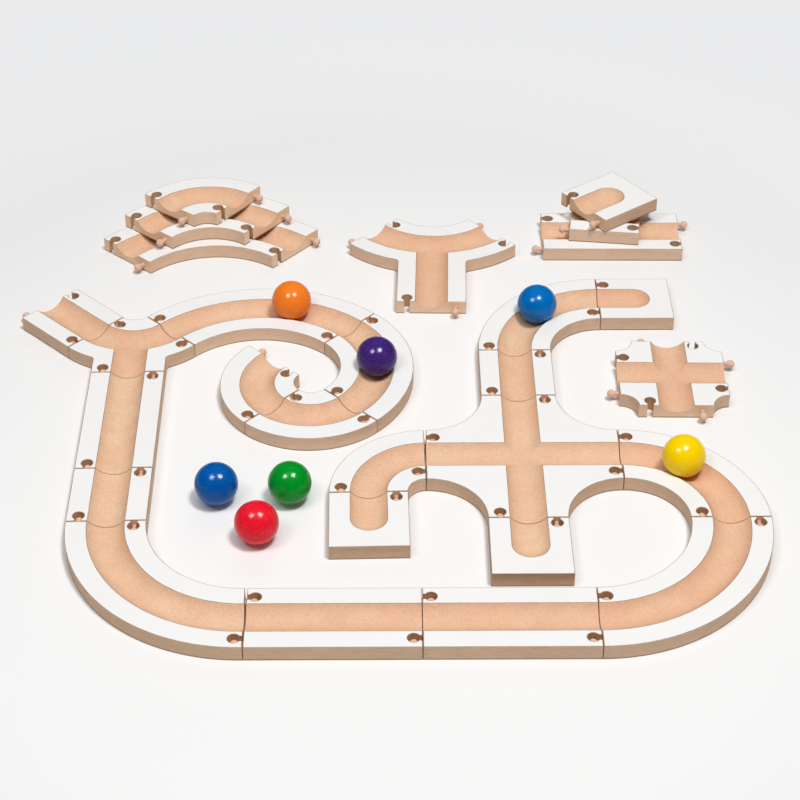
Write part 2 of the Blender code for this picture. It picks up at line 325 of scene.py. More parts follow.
class Value:
    """A socket that holds a number, for use in Python expressions."""

    def __init__(self, wires: Wires, socket: bpy.types.NodeSocket) -> None:
        """Wrap a socket.

        Args:
            wires: The tree that the socket belongs to.
            socket: The output socket.
        """
        self.wires = wires
        self.socket = socket

    def __add__(self, other: Any) -> "Value":
        """Sum."""
        return self.wires.math("ADD", self, other)

    __radd__ = __add__

    def __sub__(self, other: Any) -> "Value":
        """Difference."""
        return self.wires.math("SUBTRACT", self, other)

    def __rsub__(self, other: Any) -> "Value":
        """Difference from a number."""
        return self.wires.math("SUBTRACT", other, self)

    def __mul__(self, other: Any) -> "Value":
        """Product."""
        return self.wires.math("MULTIPLY", self, other)

    __rmul__ = __mul__

    def __pow__(self, other: Any) -> "Value":
        """Power."""
        return self.wires.math("POWER", self, other)

    def within(self, low: float, high: float) -> "Value":
        """Share of the way from one number to another, kept between 0 and 1.

        Args:
            low: Number that gives 0.
            high: Number that gives 1.

        Returns:
            The share.
        """
        inputs = {"Value": self, "From Min": low, "From Max": high}
        return self.wires.value(self.wires.add("ShaderNodeMapRange", {"clamp": True}, inputs))


class ShapeTree(Tree):
    """A geometry node tree with named inputs, run on an object to give a plain mesh."""

    def __init__(self, name: str, inputs: Mapping[str, str]) -> None:
        """Start a tree.

        Args:
            name: Name of the tree.
            inputs: Name and socket type of each input besides the geometry.
        """
        super().__init__(bpy.data.node_groups.new(name, "GeometryNodeTree"))
        self.keys: dict[str, str] = {}
        sockets = self.tree.interface
        sockets.new_socket("Geometry", in_out="INPUT", socket_type="NodeSocketGeometry")
        for label, kind in inputs.items():
            self.keys[label] = sockets.new_socket(label, in_out="INPUT", socket_type=kind).identifier
        sockets.new_socket("Geometry", in_out="OUTPUT", socket_type="NodeSocketGeometry")
        self.given = self.tree.nodes.new("NodeGroupInput").outputs

    def end(self, geometry: bpy.types.NodeSocket) -> None:
        """Close the tree with real geometry and a material.

        Args:
            geometry: The geometry that the tree has made.
        """
        real = self.add("GeometryNodeRealizeInstances", {}, {"Geometry": geometry})
        inputs = {"Geometry": real.outputs[0], "Material": self.given["Material"]}
        dressed = self.add("GeometryNodeSetMaterial", {}, inputs)
        self.add("NodeGroupOutput", {}, {"Geometry": dressed.outputs[0]})

    def run(self, item: bpy.types.Object, values: Mapping[str, Any]) -> bpy.types.Mesh:
        """Run the tree on an object, which is then removed.

        Args:
            item: The object that holds the starting geometry.
            values: Value of each named input.

        Returns:
            The resulting mesh, with normals that point outwards.
        """
        step = item.modifiers.new(self.tree.name, "NODES")
        step.node_group = self.tree
        for label, value in values.items():
            step[self.keys[label]] = value
        mesh = evaluated_mesh(item)
        name = item.name
        remove(item)
        mesh.name = name
        with mesh_work(mesh) as work:
            bmesh.ops.recalc_face_normals(work, faces=work.faces)
        return mesh


# Finishes


class BoardMark(Enum):
    """Numbers that a board's mesh holds for its materials."""

    LAYER = "layer"
    TONE = "tone"
    SAND = "sand"

    def read(self, wires: Wires) -> Value:
        """The number in a material."""
        return wires.value(wires.add("ShaderNodeAttribute", {"attribute_name": self.value}), "Fac")


@dataclass(frozen=True)
class Mottle:
    """A noise pattern: spots per metre, finer layers, the span that shows, and its share in a colour."""

    scale: float
    detail: float
    low: float = 0.0
    high: float = 1.0
    share: float = 1.0
    flatten: float = 1.0

    def noise(self, wires: Wires, where: Optional[bpy.types.NodeSocket] = None) -> Value:
        """The plain noise.

        Args:
            wires: The material's tree.
            where: Coordinates; the piece's own ones, flattened along Z, where they are left out.

        Returns:
            A number about 0.5.
        """
        vector = wires.place((1, 1, self.flatten)) if where is None else where
        inputs = {"Vector": vector, "Scale": self.scale, "Detail": self.detail}
        return wires.value(wires.add("ShaderNodeTexNoise", {}, inputs))

    def part(self, noise: Value) -> Value:
        """The span of a noise that shows, from 0 to 1."""
        return noise.within(self.low, self.high)

    def spots(self, wires: Wires, where: Optional[bpy.types.NodeSocket] = None) -> Value:
        """The pattern from 0 to 1.

        Args:
            wires: The material's tree.
            where: Coordinates, as for the plain noise.

        Returns:
            The number.
        """
        return self.part(self.noise(wires, where))


@dataclass(frozen=True)
class LaminateFinish:
    """White laminate on a board's top face."""

    colour: Colour = (0.865, 0.857, 0.845)
    worn: Colour = (0.825, 0.813, 0.794)
    smudge: Mottle = Mottle(16.0, 4.0, 0.48, 0.82, share=0.6)
    grain: Mottle = Mottle(1600.0, 2.0, 0.5, 0.9, share=0.3)
    polish: Mottle = Mottle(80.0, 3.0)
    smooth: float = 0.30
    rough: float = 0.44
    relief: float = 0.00002

    def material(self) -> bpy.types.Material:
        """Make the material.

        Returns:
            The material.
        """
        wires = Wires("white_laminate")
        grain = self.grain.noise(wires)
        wear = self.smudge.spots(wires) * self.smudge.share + self.grain.part(grain) * self.grain.share
        colour = wires.mix(wear, self.colour, self.worn)
        roughness = self.smooth + (self.rough - self.smooth) * self.polish.noise(wires)
        return wires.finish(colour, roughness, grain, self.relief)


@dataclass(frozen=True)
class GrooveFinish:
    """Fibre board bared by the cutter in the groove, with fine fibres, a dark line under the laminate and
    painted shade that darkens the walls towards the top.
    """

    pale: Colour = (0.815, 0.485, 0.318)
    sandy: Colour = (0.83, 0.575, 0.385)
    fibre_and_shade: Colour = (0.555, 0.322, 0.196)
    line: Colour = (0.30, 0.205, 0.14)
    hue: Mottle = Mottle(26.0, 2.0, 0.38, 0.66, share=0.5)
    blotch: Mottle = Mottle(55.0, 3.0, 0.35, 0.75, share=0.2)
    fibre: Mottle = Mottle(420.0, 4.0, 0.35, 0.7, share=0.32)
    speck: Mottle = Mottle(900.0, 2.0, 0.52, 0.72, share=0.34)
    sand_share: float = 0.85
    sand_start: float = 0.2
    wall_shade_share: float = 0.1
    wall_shade_power: float = 2.0
    rough: float = 0.62
    fibre_rough: float = 0.15
    relief: float = 0.00008

    def material(self) -> bpy.types.Material:
        """Make the material.

        Returns:
            The material.
        """
        wires = Wires("milled_groove")
        height = BoardMark.LAYER.read(wires)
        sand = BoardMark.SAND.read(wires) * self.sand_share
        hue = self.hue.spots(wires) * self.hue.share + sand - self.sand_start
        blotch = self.blotch.spots(wires)
        fibre = self.fibre.spots(wires)
        speck = self.speck.spots(wires)
        # Painted shade: the groove walls are darkened towards the top rim.
        wall = height.within(SIZES.groove_floor, SIZES.board_thickness) ** self.wall_shade_power
        depth = blotch * self.blotch.share + fibre * self.fibre.share + speck * self.speck.share
        ground = wires.mix(hue.within(0.0, 1.0), self.pale, self.sandy)
        body = wires.mix(depth + wall * self.wall_shade_share, ground, self.fibre_and_shade)
        edge = height.within(SIZES.core_height, SIZES.core_height + SIZES.laminate / 2)
        colour = wires.mix(edge, body, self.line)
        return wires.finish(colour, self.rough + self.fibre_rough * fibre, fibre + speck, self.relief)


@dataclass(frozen=True)
class CoreFinish:
    """Sawn fibre board of the edges, keyholes and underside, with a painted contact shadow along the bottom
    and the laminate's edge.
    """

    name: str
    pale: Colour
    dense: Colour
    contact_shadow: Colour = (0.30, 0.19, 0.12)
    contact_shadow_height: float = 0.0018
    contact_shadow_share: float = 0.88
    laminate: Colour = (0.90, 0.885, 0.86)
    laminate_blend: float = 0.00005
    lines: Mottle = Mottle(500.0, 3.0, 0.42, 0.66, share=0.3, flatten=9.0)
    layers: Mottle = Mottle(65.0, 3.0, 0.38, 0.64, share=0.3, flatten=9.0)
    specks: Mottle = Mottle(1000.0, 2.0, 0.45, 0.75, share=0.3)
    batch: Mottle = Mottle(7.0, 1.0, 0.35, 0.65, share=0.1)
    palest_tone: float = -0.6
    densest_tone: float = 1.2
    rough: float = 0.7
    line_rough: float = 0.15
    relief: float = 0.00008
    speck_relief: float = 0.5

    def material(self) -> bpy.types.Material:
        """Make the material.

        Returns:
            The material.
        """
        wires = Wires(self.name)
        height = BoardMark.LAYER.read(wires)
        lines = self.lines.noise(wires)
        specks = self.specks.spots(wires)
        streaks = self.layers.spots(wires) * self.layers.share + self.lines.part(lines) * self.lines.share
        grain = specks * self.specks.share + self.batch.spots(wires) * self.batch.share
        tone = streaks + grain + BoardMark.TONE.read(wires)
        body = wires.mix(tone.within(self.palest_tone, self.densest_tone), self.pale, self.dense)
        # Painted shadow: a dark strip along the bottom, where the board stands on the floor.
        contact_shadow = 1 - height.within(self.contact_shadow_height / 2, self.contact_shadow_height)
        with_contact_shadow = wires.mix(contact_shadow * self.contact_shadow_share, body, self.contact_shadow)
        top = height.within(SIZES.core_height, SIZES.core_height + self.laminate_blend)
        colour = wires.mix(top, with_contact_shadow, self.laminate)
        bump = lines + specks * self.speck_relief
        return wires.finish(colour, self.rough + self.line_rough * lines, bump, self.relief)


@dataclass(frozen=True)
class ArrisFinish:
    """Eased rim of a board, where its brown core shows as a thin line; the line is darker than the core,
    partly painted shade.
    """

    name: str
    worn: Colour
    dark: Colour
    wear: Mottle = Mottle(180.0, 3.0, 0.3, 0.7)
    rough: float = 0.6
    wear_rough: float = 0.1

    def material(self) -> bpy.types.Material:
        """Make the material.

        Returns:
            The material.
        """
        wires = Wires(self.name)
        wear = self.wear.spots(wires)
        return wires.finish(wires.mix(wear, self.worn, self.dark), self.rough + self.wear_rough * wear)


@dataclass(frozen=True)
class BeechFinish:
    """Turned beech of the pegs, with short dark flecks along the grain."""

    pale: Colour = (0.80, 0.53, 0.39)
    dark: Colour = (0.56, 0.32, 0.21)
    grain: Mottle = Mottle(600.0, 3.0, 0.35, 0.75, share=0.4)
    fleck: Mottle = Mottle(1800.0, 2.0, 0.55, 0.75, share=0.4, flatten=0.4)
    rough: float = 0.48
    grain_rough: float = 0.12
    relief: float = 0.00005

    def material(self) -> bpy.types.Material:
        """Make the material.

        Returns:
            The material.
        """
        wires = Wires("turned_beech")
        grain = self.grain.spots(wires)
        depth = grain * self.grain.share + self.fleck.spots(wires) * self.fleck.share
        colour = wires.mix(depth, self.pale, self.dark)
        return wires.finish(colour, self.rough + self.grain_rough * grain, grain, self.relief)


@dataclass(frozen=True)
class LacquerFinish:
    """Coloured gloss lacquer on a wooden ball; the grain shows faintly as fibres and rings."""

    name: str
    colour: Colour
    grain: Colour
    turn: Point
    fibre: Mottle = Mottle(330.0, 3.0, 0.5, 0.72, share=0.75)
    fibre_stretch: Point = (1.0, 1.0, 0.1)
    cloud: Mottle = Mottle(70.0, 3.0, 0.35, 0.75)
    ring_scale: float = 70.0
    ring_bend: float = 9.0
    ring_detail: float = 4.0
    ring_detail_scale: float = 0.6
    ring_share: float = 0.35
    rough: float = 0.22
    cloud_rough: float = 0.08
    coat: float = 0.9
    coat_rough: float = 0.18
    coat_index: float = 1.34

    def material(self) -> bpy.types.Material:
        """Make the material.

        Returns:
            The material.
        """
        wires = Wires(f"{self.name}_lacquer")
        where = wires.place(turn=self.turn)
        stretch = {0: where, 1: self.fibre_stretch}
        along = wires.add("ShaderNodeVectorMath", {"operation": "MULTIPLY"}, stretch).outputs[0]
        cloud = self.cloud.spots(wires, where)
        rings = self._rings(wires, where) * self.ring_share
        fibre = self.fibre.spots(wires, along) * self.fibre.share
        colour = wires.mix((rings + fibre) * cloud, self.colour, self.grain)
        gloss = {
            "Coat Weight": self.coat,
            "Coat Roughness": self.coat_rough,
            "Coat IOR": self.coat_index,
            "Specular IOR Level": 0.0,
        }
        return wires.finish(colour, self.rough + self.cloud_rough * cloud, plain=gloss)

    def _rings(self, wires: Wires, where: bpy.types.NodeSocket) -> Value:
        """Uneven growth rings.

        Args:
            wires: The material's tree.
            where: Coordinates.

        Returns:
            A number from 0 to 1.
        """
        inputs = {
            "Vector": where,
            "Scale": self.ring_scale,
            "Distortion": self.ring_bend,
            "Detail": self.ring_detail,
            "Detail Scale": self.ring_detail_scale,
        }
        settings = {"wave_type": "BANDS", "bands_direction": "Z"}
        return wires.value(wires.add("ShaderNodeTexWave", settings, inputs), "Fac")


class BoardFace(IntEnum):
    """Surfaces of a board, in the order of its materials."""

    TOP = 0
    GROOVE = 1
    EDGE = 2
    KEYHOLE = 3
    UNDERSIDE = 4
    ARRIS = 5
    END = 6
    JOINT = 7


def board_materials() -> list[bpy.types.Material]:
    """The materials of every board.

    Returns:
        One material for each face, in the order of the faces.
    """
    underside = CoreFinish("underside", (0.60, 0.435, 0.31), (0.46, 0.31, 0.21), contact_shadow_share=0.0)
    finishes = {
        BoardFace.TOP: LaminateFinish(),
        BoardFace.GROOVE: GrooveFinish(),
        BoardFace.EDGE: CoreFinish("sawn_edge", (0.89, 0.6425, 0.4675), (0.50, 0.32, 0.205)),
        # Painted shade: the keyhole walls take a darker copy of the sawn fibre board.
        BoardFace.KEYHOLE: CoreFinish("keyhole_wall", (0.68, 0.4275, 0.245), (0.44, 0.255, 0.14)),
        BoardFace.UNDERSIDE: underside,
        # Partly painted shade: the eased rims are darker than the bared core.
        BoardFace.ARRIS: ArrisFinish("eased_rim", (0.42, 0.28, 0.185), (0.24, 0.145, 0.088)),
        # Painted light: the end faces take a lighter copy of the sawn fibre board.
        BoardFace.END: CoreFinish("sawn_end", (0.98, 0.71, 0.505), (0.66, 0.41, 0.265)),
        # Partly wear, partly painted shade of the gap: the joined ends get a dark strip.
        BoardFace.JOINT: ArrisFinish("worn_joint", (0.60, 0.36, 0.21), (0.40, 0.21, 0.11)),
    }
    return [finishes[face].material() for face in BoardFace]


# Meshes


def linked(name: str, mesh: bpy.types.Mesh) -> bpy.types.Object:
    """Put a mesh into the scene.

    Args:
        name: Name of the object.
        mesh: Its mesh.

    Returns:
        The new object.
    """
    item = bpy.data.objects.new(name, mesh)
    bpy.context.scene.collection.objects.link(item)
    return item


def remove(item: bpy.types.Object) -> None:
    """Take an object out of the file."""
    bpy.data.objects.remove(item, do_unlink=True)


def evaluated_mesh(item: bpy.types.Object) -> bpy.types.Mesh:
    """An object's mesh with its modifiers applied."""
    graph = bpy.context.evaluated_depsgraph_get()
    return bpy.data.meshes.new_from_object(item.evaluated_get(graph))


def to_mesh(work: bmesh.types.BMesh, name: str) -> bpy.types.Mesh:
    """Turn mesh work into a mesh and free it.

    Args:
        work: The mesh work.
        name: Name of the mesh.

    Returns:
        The mesh.
    """
    mesh = bpy.data.meshes.new(name)
    work.to_mesh(mesh)
    work.free()
    return mesh


@contextmanager
def mesh_work(mesh: bpy.types.Mesh) -> Iterator[bmesh.types.BMesh]:
    """Mesh work on a mesh, written back at the end.

    Args:
        mesh: The mesh to change.

    Returns:
        The mesh work, for a with statement.
    """
    work = bmesh.new()
    work.from_mesh(mesh)
    yield work
    work.to_mesh(mesh)
    work.free()


def prism(name: str, outline: Sequence[Vector], low: float, high: float,
          faces: Mapping[str, int]) -> bpy.types.Mesh:
    """A flat outline drawn up between two heights.

    Args:
        name: Name of the mesh.
        outline: Corners in plan.
        low: Lower height.
        high: Upper height.
        faces: Material number of the "top", the "side" and the "bottom".

    Returns:
        The mesh.
    """
    area = sum(one.x * two.y - two.x * one.y for one, two in zip(outline, [*outline[1:], outline[0]]))
    corners = list(outline) if area > 0 else list(reversed(outline))
    work = bmesh.new()
    lower = [work.verts.new((point.x, point.y, low)) for point in corners]
    upper = [work.verts.new((point.x, point.y, high)) for point in corners]
    work.faces.new(upper).material_index = faces["top"]
    work.faces.new(list(reversed(lower))).material_index = faces["bottom"]
    for index in range(len(corners)):
        after = (index + 1) % len(corners)
        side = work.faces.new((lower[index], lower[after], upper[after], upper[index]))
        side.material_index = faces["side"]
    return to_mesh(work, name)


def turned(name: str, profile: Profile, steps: int) -> bpy.types.Mesh:
    """A closed shape turned about +Z.

    Args:
        name: Name of the mesh.
        profile: Radius and height of each point, top to bottom; the first and the last stand on the axis.
        steps: Number of steps of a whole turn.

    Returns:
        The mesh.
    """
    work = bmesh.new()
    top = work.verts.new((0, 0, profile[0][1]))
    bottom = work.verts.new((0, 0, profile[-1][1]))
    rings = []
    for radius, height in profile[1:-1]:
        spots = [radius * direction(360 * index / steps) for index in range(steps)]
        rings.append([work.verts.new((spot.x, spot.y, height)) for spot in spots])
    for index in range(steps):
        after = (index + 1) % steps
        work.faces.new((top, rings[0][index], rings[0][after]))
        work.faces.new((bottom, rings[-1][after], rings[-1][index]))
        for one, two in zip(rings, rings[1:]):
            work.faces.new((one[index], two[index], two[after], one[after]))
    return to_mesh(work, name)


def dome(radius: float, height: float, lowest: float, rings: int) -> Profile:
    """Profile of a round top.

    Args:
        radius: Radius of the dome.
        height: Height of its middle.
        lowest: Angle in degrees at which it stops.
        rings: Number of steps.

    Returns:
        Profile points from the crown down.
    """
    points = [(0.0, height + radius)]
    for index in range(1, rings + 1):
        angle = radians(90 + (lowest - 90) * index / rings)
        points.append((radius * cos(angle), height + radius * sin(angle)))
    return points


# Plans of the boards


class Turn(IntEnum):
    """Sense of a bend."""

    LEFT = 1
    RIGHT = -1


@dataclass
class BoardPlan:
    """A board in plan: it starts at its own origin and runs along +X."""

    outline: list[Vector]
    grooves: list[list[Vector]]
    ends: list[Joint]
    pool: float = 0.0


def arc(centre: Sequence[float], radius: float, start: float, stop: float,
        steps: int = FINE.quarter) -> list[Vector]:
    """Points on an arc.

    Args:
        centre: Middle of the arc.
        radius: Its radius.
        start: First angle in degrees.
        stop: Last angle in degrees.
        steps: Number of steps.

    Returns:
        The points, both ends included.
    """
    middle = Vector(centre)
    angles = [start + (stop - start) * index / steps for index in range(steps + 1)]
    return [middle + radius * direction(angle) for angle in angles]


def end_trim(radius: float) -> float:
    """Angle that an end face standing back by the clearance takes off an arc."""
    return degrees(asin(SIZES.end_clearance / radius))


def start_joint() -> Joint:
    """The joint at a board's own origin, which faces back."""
    return Vector((0, 0)), 180.0


def block(near: float, far: float) -> list[Vector]:
    """Outline of a straight board between two distances."""
    half = SIZES.half_width
    return [Vector((near, -half)), Vector((far, -half)), Vector((far, half)), Vector((near, half))]


def straight_plan(length: float) -> BoardPlan:
    """A straight board with a joint at both ends.

    Args:
        length: Its length from joint to joint.

    Returns:
        The plan.
    """
    outline = block(SIZES.end_clearance, length - SIZES.end_clearance)
    groove = [Vector((-SIZES.groove_overrun, 0)), Vector((length + SIZES.groove_overrun, 0))]
    return BoardPlan(outline, [groove], [start_joint(), (Vector((length, 0)), 0.0)])


def dead_end_plan() -> BoardPlan:
    """A straight board with one joint, and a groove that stops in a round end.

    Returns:
        The plan.
    """
    outline = block(SIZES.end_clearance, SIZES.short_length)
    pool = SIZES.short_length - SIZES.dead_end_wall - SIZES.groove_half_width
    return BoardPlan(outline, [], [start_joint()], pool)


def bend_plan(radius: float, turn: Turn) -> BoardPlan:
    """A quarter bend.

    Args:
        radius: Radius of the centre line.
        turn: Sense of the bend.

    Returns:
        The plan.
    """
    centre = Vector((0, turn * radius))
    outer, inner = radius + SIZES.half_width, radius - SIZES.half_width
    start = -90 * turn
    outline = arc(centre, outer, start + turn * end_trim(outer), -turn * end_trim(outer))
    outline += arc(centre, inner, -turn * end_trim(inner), start + turn * end_trim(inner))
    overrun = degrees(SIZES.groove_overrun / radius)
    groove = arc(centre, radius, start - turn * overrun, turn * overrun)
    leave = (Vector((radius, turn * radius)), 90.0 * turn)
    return BoardPlan(outline, [groove], [start_joint(), leave])


def cross_plan(half_length: float) -> BoardPlan:
    """Four arms around a crossing, with hollow quarter-round corners.

    Args:
        half_length: Distance of the joints from the crossing.

    Returns:
        The plan.
    """
    centre = Vector((half_length, 0))
    radius = half_length - SIZES.half_width
    trim = end_trim(radius)
    outline: list[Vector] = []
    ends: list[Joint] = []
    for heading in (0.0, 90.0, 180.0, 270.0):
        corner = centre + half_length * (direction(heading) + direction(heading + 90))
        outline += arc(corner, radius, heading - 90 - trim, heading - 180 + trim)
        ends.append((centre + half_length * direction(heading), heading))
    grooves = []
    for heading in (0.0, 90.0):
        reach = (half_length + SIZES.groove_overrun) * direction(heading)
        grooves.append([centre - reach, centre + reach])
    ahead, left, start, right = ends
    return BoardPlan(outline, grooves, [start, ahead, left, right])


def fork_plan(leg: float, radius: float) -> BoardPlan:
    """A straight leg that splits into a left and a right arm on one quarter bend.

    Args:
        leg: Length of the leg up to the bend's centre line.
        radius: Radius of the bend's centre line.

    Returns:
        The plan.
    """
    centre = Vector((leg + radius, 0))
    half = SIZES.half_width
    outer, inner = radius + half, radius - half
    fillet_y = half + SIZES.fork_fillet
    fillet_x = centre.x - sqrt((outer + SIZES.fork_fillet) ** 2 - fillet_y ** 2)
    meet = degrees(atan2(fillet_y, fillet_x - centre.x))
    arm = 180 - SIZES.arm_angle
    side = [Vector((SIZES.end_clearance, half))]
    side += arc((fillet_x, fillet_y), SIZES.fork_fillet, -90, meet - 180, FINE.fillet)
    side += arc(centre, outer, meet, arm + end_trim(outer))[1:]
    side += arc(centre, inner, arm + end_trim(inner), 180)
    mirrored = [Vector((point.x, -point.y)) for point in reversed(side[:-1])]
    overrun = degrees(SIZES.groove_overrun / radius)
    across = arc(centre, radius, arm - overrun, 360 - arm + overrun)
    leg_groove = [Vector((-SIZES.groove_overrun, 0)), Vector((leg, 0))]
    left = (centre + radius * direction(arm), SIZES.arm_angle)
    right = (centre + radius * direction(-arm), -SIZES.arm_angle)
    return BoardPlan(side + mirrored, [across, leg_groove], [start_joint(), left, right])


def keyhole_outline(end: Vector, heading: float) -> list[Vector]:
    """A round hole to the right of an end, seen facing outwards, with a neck open at the end face.

    Args:
        end: Middle of the joint.
        heading: Its outward heading in degrees.

    Returns:
        The outline.
    """
    out, right = direction(heading), direction(heading - 90)
    middle = end + SIZES.peg_line * right - SIZES.peg_reach * out
    opening = degrees(asin(SIZES.neck_half_width / SIZES.hole_radius))
    round_part = arc(middle, SIZES.hole_radius, heading + opening, heading + 360 - opening, FINE.hole)
    mouth = end + SIZES.peg_line * right + SIZES.cut_margin * out
    return round_part + [mouth + SIZES.neck_half_width * right, mouth - SIZES.neck_half_width * right]


# Boards and their pegs


def groove_bar_tree() -> ShapeTree:
    """A tree that draws a round bar along a path, to cut a groove.

    Returns:
        The tree.
    """
    inputs = {
        "Bar Radius": "NodeSocketFloat",
        "Round Steps": "NodeSocketInt",
        "Material": "NodeSocketMaterial",
    }
    nodes = ShapeTree("groove_bar", inputs)
    path = nodes.add("GeometryNodeMeshToCurve", {}, {"Mesh": nodes.given["Geometry"]})
    size = {"Resolution": nodes.given["Round Steps"], "Radius": nodes.given["Bar Radius"]}
    ring = nodes.add("GeometryNodeCurvePrimitiveCircle", {"mode": "RADIUS"}, size)
    drawn = {"Curve": path.outputs[0], "Profile Curve": ring.outputs[0], "Fill Caps": True}
    nodes.end(nodes.add("GeometryNodeCurveToMesh", {}, drawn).outputs[0])
    return nodes


def peg_row_tree() -> ShapeTree:
    """A tree that sets one peg on every point, along the point's own aim.

    Returns:
        The tree.
    """
    inputs = {"Peg": "NodeSocketObject", "Peg Scale": "NodeSocketFloat", "Material": "NodeSocketMaterial"}
    nodes = ShapeTree("peg_row", inputs)
    aim = nodes.add("GeometryNodeInputNamedAttribute", {"data_type": "FLOAT_VECTOR"}, {"Name": PEG_AIM})
    turn = nodes.add("FunctionNodeAlignRotationToVector", {"axis": "Z"}, {"Vector": aim.outputs[0]})
    peg = nodes.add("GeometryNodeObjectInfo", {}, {"Object": nodes.given["Peg"]})
    placed = {
        "Points": nodes.given["Geometry"],
        "Instance": peg.outputs["Geometry"],
        "Rotation": turn.outputs[0],
        "Scale": nodes.given["Peg Scale"],
    }
    nodes.end(nodes.add("GeometryNodeInstanceOnPoints", {}, placed).outputs[0])
    return nodes


class Workshop:
    """What all boards share: their materials, the node trees and the turned peg."""

    def __init__(self) -> None:
        """Make the shared materials, trees and shapes."""
        self.board_materials = board_materials()
        self.beech = BeechFinish().material()
        self.bars = groove_bar_tree()
        self.rows = peg_row_tree()
        self.peg = linked("peg_pattern", self._peg_mesh())

    @staticmethod
    def _peg_mesh() -> bpy.types.Mesh:
        """A peg along +Z: a round head beyond the joint, and a shank that ends inside the board.

        Returns:
            The peg's mesh.
        """
        lowest = -degrees(acos(SIZES.peg_neck_radius / SIZES.peg_head_radius))
        profile = dome(SIZES.peg_head_radius, SIZES.peg_reach, lowest, FINE.head)
        profile += [(SIZES.peg_neck_radius, -SIZES.peg_root), (0.0, -SIZES.peg_root)]
        mesh = turned("peg_pattern", profile, FINE.peg)
        mesh.shade_smooth()
        mesh.set_sharp_from_angle(angle=radians(SIZES.peg_crease))
        return mesh

    def close(self) -> None:
        """Remove the shapes that were only patterns."""
        remove(self.peg)


@dataclass(frozen=True)
class Shade:
    """A board's own shade: how dense its sawn edges look, and how sandy its groove is."""

    tone: float = 0.0
    sand: float = 0.5


